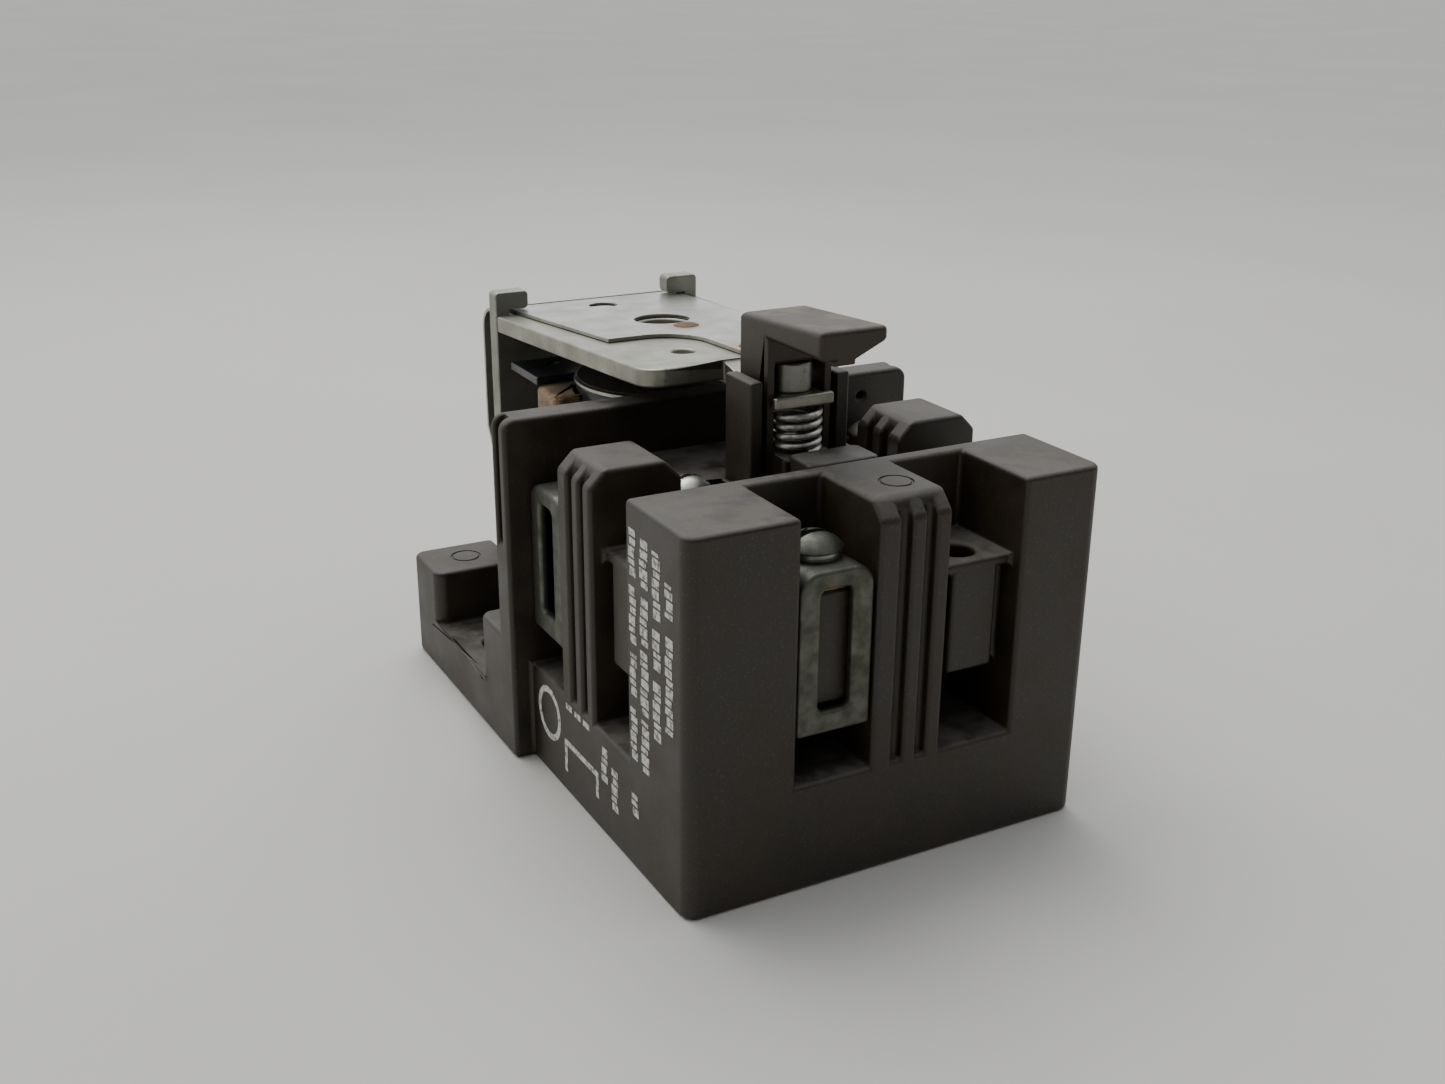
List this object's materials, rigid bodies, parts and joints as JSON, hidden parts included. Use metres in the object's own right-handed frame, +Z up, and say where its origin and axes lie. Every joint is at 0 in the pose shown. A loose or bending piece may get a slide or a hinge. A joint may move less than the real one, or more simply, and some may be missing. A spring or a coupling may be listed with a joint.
{
  "type": "industrial control relay",
  "caption": "Open-frame control relay: moulded contact block with screw terminals, clapper magnet with leaf hinge spring, and a sliding carrier with a bridging contact.",
  "frame": {"origin": "middle of the bounding box on the mounting face", "axes": "+X to the right seen from the front terminals, +Y from the front terminals back to the hinge spring, +Z up from the mounting face"},
  "size_m": [0.0704, 0.1036, 0.0726],
  "materials": {
    "phenolic": "satin moulded",
    "steel": "worn satin",
    "zinc_plate": "dull plated",
    "copper": "dull",
    "brass": "dull",
    "silver": "satin",
    "black_plastic": "satin",
    "cloth_tape": "matt woven",
    "fibre_board": "matt",
    "lead_insulation": "matt"
  },
  "bodies": {
    "base": {"base_moulding": "phenolic", "bottom_insulator": "fibre_board", "bottom_screws": "zinc_plate", "arc_cover": "phenolic", "arc_cover_screws": "zinc_plate", "yoke_frame": "steel", "yoke_screws": "zinc_plate", "core": "steel", "shading_ring": "copper", "bobbin": "black_plastic", "coil_winding": "copper", "coil_wrap": "black_plastic", "coil_lead_pads": "cloth_tape", "coil_leads": "lead_insulation", "coil_top_plate": "zinc_plate", "coil_paper_washer": "fibre_board", "hinge_spring": "steel", "hinge_spring_rivets": "steel", "contact_strip_left": "copper", "contact_strip_right": "copper", "fixed_contact_tips": "silver", "terminal_plate_front": "brass", "terminal_plate_right": "brass"},
    "armature": {"armature_plate": "steel", "armature_leaf": "steel", "armature_rivets": "copper", "lifting_stud": "steel", "residual_shim": "brass"},
    "carrier": {"contact_carrier": "phenolic", "contact_bridge": "copper", "moving_contact_tips": "silver", "bridge_clip": "zinc_plate", "contact_spring": "zinc_plate", "link_spring": "zinc_plate"},
    "clamp_front_body": {"clamp_front": "zinc_plate", "clamp_washer_front": "zinc_plate"},
    "screw_front_body": {"clamp_screw_front": "zinc_plate"},
    "clamp_left_body": {"clamp_left": "zinc_plate", "clamp_washer_left": "zinc_plate"},
    "screw_left_body": {"clamp_screw_left": "zinc_plate"},
    "clamp_right_front_body": {"clamp_right_front": "zinc_plate", "clamp_washer_right_front": "zinc_plate"},
    "screw_right_front_body": {"clamp_screw_right_front": "zinc_plate"},
    "clamp_right_rear_body": {"clamp_right_rear": "zinc_plate", "clamp_washer_right_rear": "zinc_plate"},
    "screw_right_rear_body": {"clamp_screw_right_rear": "zinc_plate"}
  },
  "joints": [
    {"name": "armature_hinge", "type": "hinge", "parent": "base", "child": "armature", "pos_m": [0, 0.0457, 0.0569], "axis": [1, 0, 0], "range_deg": [0, 2.6], "stiffness_Nm_per_rad": 1.2, "springref_deg": -1.72, "deforming": ["link_spring"]},
    {"name": "carrier_slide", "type": "slide", "parent": "base", "child": "carrier", "axis": [0, 0, -1], "range_m": [0, 0.0022]},
    {"name": "clamp_lift_front", "type": "slide", "parent": "base", "child": "clamp_front_body", "axis": [0, 0, 1], "range_m": [0, 0.0024]},
    {"name": "screw_turn_front", "type": "hinge", "parent": "clamp_front_body", "child": "screw_front_body", "pos_m": [-0.01, -0.0448, 0.046], "axis": [0, 0, 1], "range_deg": [0, 1080]},
    {"name": "clamp_lift_left", "type": "slide", "parent": "base", "child": "clamp_left_body", "axis": [0, 0, 1], "range_m": [0, 0.0024]},
    {"name": "screw_turn_left", "type": "hinge", "parent": "clamp_left_body", "child": "screw_left_body", "pos_m": [-0.025, -0.00585, 0.046], "axis": [0, 0, 1], "range_deg": [0, 1080]},
    {"name": "clamp_lift_right_front", "type": "slide", "parent": "base", "child": "clamp_right_front_body", "axis": [0, 0, 1], "range_m": [0, 0.0024]},
    {"name": "screw_turn_right_front", "type": "hinge", "parent": "clamp_right_front_body", "child": "screw_right_front_body", "pos_m": [0.025, -0.0288, 0.046], "axis": [0, 0, 1], "range_deg": [0, 1080]},
    {"name": "clamp_lift_right_rear", "type": "slide", "parent": "base", "child": "clamp_right_rear_body", "axis": [0, 0, 1], "range_m": [0, 0.0024]},
    {"name": "screw_turn_right_rear", "type": "hinge", "parent": "clamp_right_rear_body", "child": "screw_right_rear_body", "pos_m": [0.025, -0.00585, 0.046], "axis": [0, 0, 1], "range_deg": [0, 1080]}
  ],
  "couplings": [
    {"joint": "carrier_slide", "follows": "armature_hinge", "m_per_rad": 0.048481},
    {"joint": "screw_turn_front", "follows": "clamp_lift_front", "rad_per_m": 7853},
    {"joint": "screw_turn_left", "follows": "clamp_lift_left", "rad_per_m": 7853},
    {"joint": "screw_turn_right_front", "follows": "clamp_lift_right_front", "rad_per_m": 7853},
    {"joint": "screw_turn_right_rear", "follows": "clamp_lift_right_rear", "rad_per_m": 7853}
  ]
}
